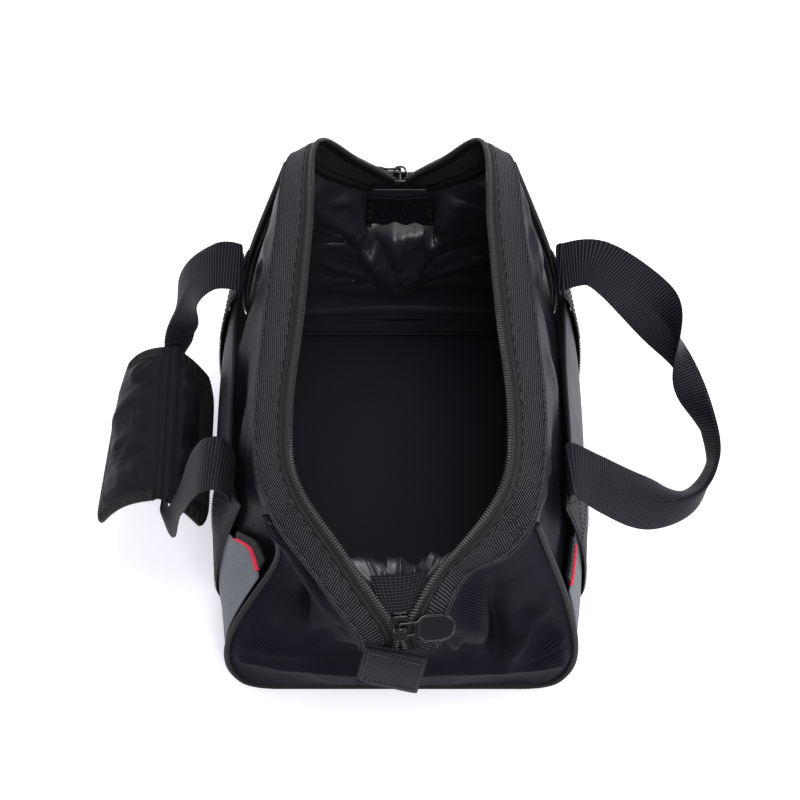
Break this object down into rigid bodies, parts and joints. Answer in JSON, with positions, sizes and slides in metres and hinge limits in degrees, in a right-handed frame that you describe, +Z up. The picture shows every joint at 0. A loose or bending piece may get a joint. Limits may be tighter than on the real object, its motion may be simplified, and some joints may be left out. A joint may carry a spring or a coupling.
{
  "type": "duffel bag",
  "caption": "Small open-topped duffel bag: long top zip spread open, end panels, side pockets, two webbing handles, one with a padded wrap grip.",
  "frame": {"origin": "centre of the base, on the ground plane that the bag stands on", "axes": "+Z up; the bag's length and its zip run along Y with the front end at -Y; its right side is +X"},
  "size_m": [0.4127, 0.3804, 0.2261],
  "materials": {
    "black_nylon": "woven black polyester with a slight sheen",
    "grey_polyester": "grey ripstop-like polyester weave, matt",
    "board_cover": "fine black nylon over a stiff board, matt",
    "binding_tape": "black ribbed binding tape",
    "red_piping": "crimson piping cord cover",
    "woven_band": "coarse diagonal black webbing",
    "zip_tape": "fine ribbed zip tape",
    "zip_coil": "black nylon coil, satin",
    "gunmetal": "black enamelled zinc, glossy, worn bright on its edges",
    "webbing": "ribbed black polypropylene webbing",
    "lining": "shiny coated black lining cloth",
    "padded_fabric": "quilted padded black polyester",
    "hook_and_loop": "black hook-and-loop tape"
  },
  "bodies": {
    "bag": {"bottom_panel": "black_nylon", "front_end_panel": "black_nylon", "rear_end_panel": "black_nylon", "left_side_panel": "black_nylon", "right_side_panel": "black_nylon", "left_pocket_panel": "grey_polyester", "right_pocket_panel": "grey_polyester", "left_centre_pocket": "black_nylon", "right_centre_pocket": "black_nylon", "left_pocket_binding": "binding_tape", "right_pocket_binding": "binding_tape", "left_pocket_piping": "red_piping", "right_pocket_piping": "red_piping", "front_piping": "binding_tape", "rear_piping": "binding_tape", "left_zip_band": "woven_band", "right_zip_band": "woven_band", "left_zip_tape": "zip_tape", "right_zip_tape": "zip_tape", "left_zip_coil": "zip_coil", "right_zip_coil": "zip_coil", "front_slider": "gunmetal", "rear_slider": "gunmetal", "front_inner_tab": "webbing", "rear_inner_tab": "webbing", "front_lining": "lining", "rear_lining": "lining", "left_lining": "lining", "right_lining": "lining", "left_webbing": "webbing", "right_webbing": "webbing"},
    "base_board": {"base_board": "board_cover"},
    "front_pull": {"front_pull": "gunmetal"},
    "rear_pull": {"rear_pull": "gunmetal"},
    "front_grab_tab": {"front_grab_tab": "webbing"},
    "rear_grab_tab": {"rear_grab_tab": "webbing"},
    "left_handle": {"left_handle": "webbing", "grip_core": "binding_tape"},
    "right_handle": {"right_handle": "webbing"},
    "grip_outer_flap": {"grip_outer_flap": "padded_fabric", "grip_hook_strip": "hook_and_loop"},
    "grip_inner_flap": {"grip_inner_flap": "padded_fabric", "grip_loop_strip": "hook_and_loop"}
  },
  "joints": [
    {"name": "board_lift", "type": "slide", "parent": "bag", "child": "base_board", "axis": [0, 0, 1], "range_m": [0, 0.03]},
    {"name": "front_pull_swing", "type": "hinge", "parent": "bag", "child": "front_pull", "pos_m": [0, -0.18031, 0.15946], "axis": [0, -0.7193, -0.6947], "range_deg": [0, 150]},
    {"name": "rear_pull_swing", "type": "hinge", "parent": "bag", "child": "rear_pull", "pos_m": [0, 0.16866, 0.15852], "axis": [0, 0.4067, -0.9135], "range_deg": [0, 150]},
    {"name": "front_tab_lift", "type": "hinge", "parent": "bag", "child": "front_grab_tab", "pos_m": [-0.003, -0.19, 0.146], "axis": [-1, 0, 0], "range_deg": [0, 60]},
    {"name": "rear_tab_lift", "type": "hinge", "parent": "bag", "child": "rear_grab_tab", "pos_m": [0, 0.176, 0.145], "axis": [1, 0, 0], "range_deg": [0, 80]},
    {"name": "right_handle_swing", "type": "hinge", "parent": "bag", "child": "right_handle", "pos_m": [0.104, 0, 0.174], "axis": [0, -1, 0], "range_deg": [0, 100]},
    {"name": "left_handle_swing", "type": "hinge", "parent": "bag", "child": "left_handle", "pos_m": [-0.104, 0, 0.174], "axis": [0, 1, 0], "range_deg": [0, 100]},
    {"name": "grip_outer_flap_wrap", "type": "hinge", "parent": "left_handle", "child": "grip_outer_flap", "pos_m": [-0.156, -0.002, 0.1045], "axis": [0, -0.9952, -0.0978], "range_deg": [-75, 8]},
    {"name": "grip_inner_flap_wrap", "type": "hinge", "parent": "left_handle", "child": "grip_inner_flap", "pos_m": [-0.156, -0.002, 0.1045], "axis": [0, 0.9952, 0.0978], "range_deg": [0, 8]}
  ]
}
